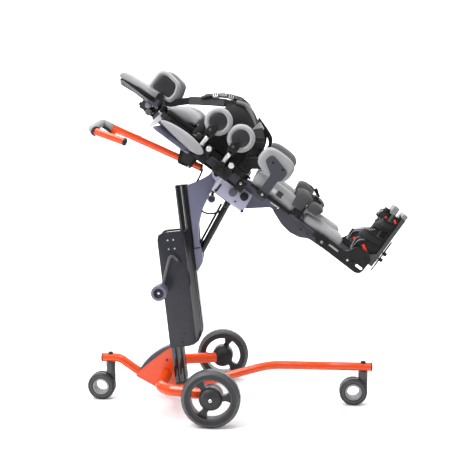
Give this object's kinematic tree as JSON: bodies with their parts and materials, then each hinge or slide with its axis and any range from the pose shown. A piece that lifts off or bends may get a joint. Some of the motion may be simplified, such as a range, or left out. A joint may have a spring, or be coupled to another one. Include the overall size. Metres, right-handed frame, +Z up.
{
  "type": "pediatric standing frame",
  "caption": "Supine standing frame for a child: tilting padded body support on a crank-lifted leaning mast with a wheeled base.",
  "frame": {"origin": "on the floor, at the middle of the frame's length and width", "axes": "+X towards the child's feet, +Y to the child's left as it lies on its back, +Z up"},
  "size_m": [1.1346, 0.6112, 1.1977],
  "materials": {
    "arm_pad_far": "light grey knit over foam",
    "arm_pad_near": "light grey knit over foam",
    "axle_tube": "gloss orange paint",
    "back_cushion": "light grey knit over foam",
    "back_shell": "black moulded",
    "calf_pad_far": "light grey knit over foam",
    "calf_pad_near": "light grey knit over foam",
    "chest_harness": "charcoal knit over foam",
    "crank_arm": "black satin",
    "crank_grip": "black moulded",
    "foot_bracket_far": "black satin coating",
    "foot_bracket_near": "black satin coating",
    "footplate_far": "black moulded",
    "footplate_near": "black moulded",
    "front_caster_fork": "grey moulded",
    "front_caster_wheel_far": "dark grey moulded",
    "front_caster_wheel_near": "dark grey moulded",
    "front_leg_tube": "gloss orange paint",
    "front_mast": "black satin coating",
    "handle_bracket": "black satin coating",
    "head_bracket": "black satin coating",
    "head_pad": "light grey knit over foam",
    "head_side_pad_far": "light grey knit over foam",
    "head_side_pad_near": "light grey knit over foam",
    "hip_bracket_far": "black satin coating",
    "hip_bracket_near": "black satin coating",
    "hip_pad_far": "light grey knit over foam",
    "hip_pad_near": "light grey knit over foam",
    "horn_bracket": "slate metallic paint",
    "housing_far_cover": "black gloss",
    "housing_near_cover": "black gloss",
    "knee_cup_far": "charcoal knit over foam",
    "knee_cup_near": "charcoal knit over foam",
    "lead_screw": "polished",
    "leg_beam_far": "slate metallic paint",
    "leg_beam_near": "slate metallic paint",
    "mast_gusset": "gloss orange paint",
    "push_handle": "gloss orange paint",
    "rear_caster_fork": "grey moulded",
    "rear_caster_wheel_far": "dark grey moulded",
    "rear_caster_wheel_near": "dark grey moulded",
    "rear_leg_tube": "gloss orange paint",
    "rear_mast": "black satin coating",
    "release_lever": "black moulded",
    "sandal_far": "black moulded",
    "sandal_near": "black moulded",
    "spine": "slate metallic paint",
    "strut_cylinder": "black satin",
    "strut_rod": "polished",
    "thigh_pad_far": "light grey knit over foam",
    "thigh_pad_near": "light grey knit over foam",
    "tilt_head": "light lilac metallic paint",
    "trunk_pad_far_lower": "light grey knit over foam",
    "trunk_pad_far_upper": "light grey knit over foam",
    "trunk_pad_near_lower": "light grey knit over foam",
    "trunk_pad_near_upper": "light grey knit over foam",
    "trunk_rail_far": "black satin coating",
    "trunk_rail_near": "black satin coating",
    "wheel_far": "dark grey moulded",
    "wheel_near": "dark grey moulded"
  },
  "bodies": {
    "base": {"rear_leg_tube": "rear_leg_tube", "front_leg_tube": "front_leg_tube", "axle_tube": "axle_tube", "mast_gusset": "mast_gusset", "rear_mast": "rear_mast", "housing_near_cover": "housing_near_cover", "housing_far_cover": "housing_far_cover"},
    "wheel_near": {"wheel_near": "wheel_near"},
    "wheel_far": {"wheel_far": "wheel_far"},
    "lift": {"front_mast": "front_mast", "horn_bracket": "horn_bracket"},
    "crank": {"crank_arm": "crank_arm"},
    "crank_grip": {"crank_grip": "crank_grip"},
    "lead_screw": {"lead_screw": "lead_screw"},
    "strut_cylinder": {"strut_cylinder": "strut_cylinder"},
    "strut_rod": {"strut_rod": "strut_rod"},
    "tilt": {"tilt_head": "tilt_head", "spine": "spine", "push_handle": "push_handle", "handle_bracket": "handle_bracket", "back_shell": "back_shell", "back_cushion": "back_cushion", "trunk_rail_near": "trunk_rail_near", "trunk_rail_far": "trunk_rail_far", "arm_pad_near": "arm_pad_near", "arm_pad_far": "arm_pad_far", "chest_harness": "chest_harness"},
    "release_lever": {"release_lever": "release_lever"},
    "head": {"head_bracket": "head_bracket", "head_pad": "head_pad"},
    "rear_caster": {"rear_caster_fork": "rear_caster_fork"},
    "rear_caster_wheel_near": {"rear_caster_wheel_near": "rear_caster_wheel_near"},
    "rear_caster_wheel_far": {"rear_caster_wheel_far": "rear_caster_wheel_far"},
    "front_caster": {"front_caster_fork": "front_caster_fork"},
    "front_caster_wheel_near": {"front_caster_wheel_near": "front_caster_wheel_near"},
    "front_caster_wheel_far": {"front_caster_wheel_far": "front_caster_wheel_far"},
    "head_side_near": {"head_side_pad_near": "head_side_pad_near"},
    "trunk_pad_near_upper": {"trunk_pad_near_upper": "trunk_pad_near_upper"},
    "trunk_pad_near_lower": {"trunk_pad_near_lower": "trunk_pad_near_lower"},
    "hip_near": {"hip_bracket_near": "hip_bracket_near", "hip_pad_near": "hip_pad_near"},
    "leg_near": {"leg_beam_near": "leg_beam_near", "thigh_pad_near": "thigh_pad_near", "calf_pad_near": "calf_pad_near", "knee_cup_near": "knee_cup_near"},
    "foot_slide_near": {"foot_bracket_near": "foot_bracket_near"},
    "foot_near": {"footplate_near": "footplate_near", "sandal_near": "sandal_near"},
    "head_side_far": {"head_side_pad_far": "head_side_pad_far"},
    "trunk_pad_far_upper": {"trunk_pad_far_upper": "trunk_pad_far_upper"},
    "trunk_pad_far_lower": {"trunk_pad_far_lower": "trunk_pad_far_lower"},
    "hip_far": {"hip_bracket_far": "hip_bracket_far", "hip_pad_far": "hip_pad_far"},
    "leg_far": {"leg_beam_far": "leg_beam_far", "thigh_pad_far": "thigh_pad_far", "calf_pad_far": "calf_pad_far", "knee_cup_far": "knee_cup_far"},
    "foot_slide_far": {"foot_bracket_far": "foot_bracket_far"},
    "foot_far": {"footplate_far": "footplate_far", "sandal_far": "sandal_far"}
  },
  "joints": [
    {"name": "wheel_near_roll", "type": "hinge", "parent": "base", "child": "wheel_near", "pos_m": [-0.0883, -0.28, 0.1], "axis": [0, 1, 0], "continuous": true},
    {"name": "wheel_far_roll", "type": "hinge", "parent": "base", "child": "wheel_far", "pos_m": [-0.0883, 0.28, 0.1], "axis": [0, 1, 0], "continuous": true},
    {"name": "rear_caster_turn", "type": "hinge", "parent": "base", "child": "rear_caster", "pos_m": [-0.4833, 0, 0], "axis": [0, 0, 1], "continuous": true},
    {"name": "rear_caster_roll_near", "type": "hinge", "parent": "rear_caster", "child": "rear_caster_wheel_near", "pos_m": [-0.5173, 0, 0.05], "axis": [0, 1, 0], "continuous": true},
    {"name": "rear_caster_roll_far", "type": "hinge", "parent": "rear_caster", "child": "rear_caster_wheel_far", "pos_m": [-0.5173, 0, 0.05], "axis": [0, 1, 0], "continuous": true},
    {"name": "front_caster_turn", "type": "hinge", "parent": "base", "child": "front_caster", "pos_m": [0.4417, 0, 0], "axis": [0, 0, 1], "continuous": true},
    {"name": "front_caster_roll_near", "type": "hinge", "parent": "front_caster", "child": "front_caster_wheel_near", "pos_m": [0.4077, 0, 0.05], "axis": [0, 1, 0], "continuous": true},
    {"name": "front_caster_roll_far", "type": "hinge", "parent": "front_caster", "child": "front_caster_wheel_far", "pos_m": [0.4077, 0, 0.05], "axis": [0, 1, 0], "continuous": true},
    {"name": "lift_slide", "type": "slide", "parent": "base", "child": "lift", "axis": [-0.1149, 0, 0.9934], "range_m": [0, 0.2]},
    {"name": "crank_turn", "type": "hinge", "parent": "base", "child": "crank", "pos_m": [-0.22263, 0, 0.5265], "axis": [0, -1, 0], "range_deg": [0, 1800]},
    {"name": "crank_grip_spin", "type": "hinge", "parent": "crank", "child": "crank_grip", "pos_m": [-0.2815, 0, 0.43059], "axis": [0, -1, 0], "continuous": true},
    {"name": "screw_turn", "type": "hinge", "parent": "base", "child": "lead_screw", "pos_m": [-0.17022, 0, 0.07352], "axis": [-0.1149, 0, 0.9934], "range_deg": [0, 3600]},
    {"name": "tilt_turn", "type": "hinge", "parent": "lift", "child": "tilt", "pos_m": [-0.0883, 0, 0.84], "axis": [0, 1, 0], "range_deg": [-25, 50]},
    {"name": "strut_swing", "type": "hinge", "parent": "lift", "child": "strut_cylinder", "pos_m": [-0.1533, 0, 0.5457], "axis": [0, 1, 0], "range_deg": [-9, 5]},
    {"name": "strut_extend", "type": "slide", "parent": "strut_cylinder", "child": "strut_rod", "axis": [0.4739, 0, 0.8806], "range_m": [-0.062, 0.032]},
    {"name": "release_lever_pull", "type": "hinge", "parent": "tilt", "child": "release_lever", "pos_m": [-0.47474, 0, 0.96416], "axis": [0, 1, 0], "range_deg": [0, 8], "stiffness_Nm_per_rad": 0.5, "springref_deg": -22.92},
    {"name": "head_slide", "type": "slide", "parent": "tilt", "child": "head", "axis": [-0.8039, 0, 0.5948], "range_m": [0, 0.05]},
    {"name": "head_side_swing_near", "type": "hinge", "parent": "head", "child": "head_side_near", "pos_m": [-0.28734, -0.1015, 1.0901], "axis": [0.8616, 0, -0.5075], "range_deg": [0, 40]},
    {"name": "head_side_swing_far", "type": "hinge", "parent": "head", "child": "head_side_far", "pos_m": [-0.28734, 0.1015, 1.0901], "axis": [-0.8616, 0, 0.5075], "range_deg": [0, 40]},
    {"name": "trunk_swing_near_upper", "type": "hinge", "parent": "tilt", "child": "trunk_pad_near_upper", "pos_m": [-0.1053, -0.184, 0.98009], "axis": [0.8039, 0, -0.5948], "range_deg": [0, 45]},
    {"name": "trunk_swing_near_lower", "type": "hinge", "parent": "tilt", "child": "trunk_pad_near_lower", "pos_m": [-0.02974, -0.184, 0.92418], "axis": [0.8039, 0, -0.5948], "range_deg": [0, 45]},
    {"name": "trunk_swing_far_upper", "type": "hinge", "parent": "tilt", "child": "trunk_pad_far_upper", "pos_m": [-0.1053, 0.184, 0.98009], "axis": [-0.8039, 0, 0.5948], "range_deg": [0, 45]},
    {"name": "trunk_swing_far_lower", "type": "hinge", "parent": "tilt", "child": "trunk_pad_far_lower", "pos_m": [-0.02974, 0.184, 0.92418], "axis": [-0.8039, 0, 0.5948], "range_deg": [0, 45]},
    {"name": "hip_slide_near", "type": "slide", "parent": "tilt", "child": "hip_near", "axis": [0, -1, 0], "range_m": [0, 0.03]},
    {"name": "hip_slide_far", "type": "slide", "parent": "tilt", "child": "hip_far", "axis": [0, 1, 0], "range_m": [0, 0.03]},
    {"name": "leg_spread_near", "type": "hinge", "parent": "tilt", "child": "leg_near", "pos_m": [0.02424, -0.06, 0.75672], "axis": [-0.5948, 0, -0.8039], "range_deg": [0, 12]},
    {"name": "leg_spread_far", "type": "hinge", "parent": "tilt", "child": "leg_far", "pos_m": [0.02424, 0.06, 0.75672], "axis": [0.5948, 0, 0.8039], "range_deg": [0, 12]},
    {"name": "foot_slide_near", "type": "slide", "parent": "leg_near", "child": "foot_slide_near", "axis": [0.8039, 0, -0.5948], "range_m": [-0.03, 0]},
    {"name": "foot_slide_far", "type": "slide", "parent": "leg_far", "child": "foot_slide_far", "axis": [0.8039, 0, -0.5948], "range_m": [-0.03, 0]},
    {"name": "footplate_tilt_near", "type": "hinge", "parent": "foot_slide_near", "child": "foot_near", "pos_m": [0.4285, 0, 0.56333], "axis": [0, 1, 0], "range_deg": [-10, 10]},
    {"name": "footplate_tilt_far", "type": "hinge", "parent": "foot_slide_far", "child": "foot_far", "pos_m": [0.4285, 0, 0.56333], "axis": [0, 1, 0], "range_deg": [-10, 10]}
  ],
  "couplings": [
    {"joint": "crank_turn", "follows": "lift_slide", "rad_per_m": 157.08},
    {"joint": "screw_turn", "follows": "lift_slide", "rad_per_m": 314.16},
    {"joint": "strut_swing", "follows": "tilt_turn", "ratio": -0.16927},
    {"joint": "strut_extend", "follows": "tilt_turn", "m_per_rad": -0.06903}
  ]
}
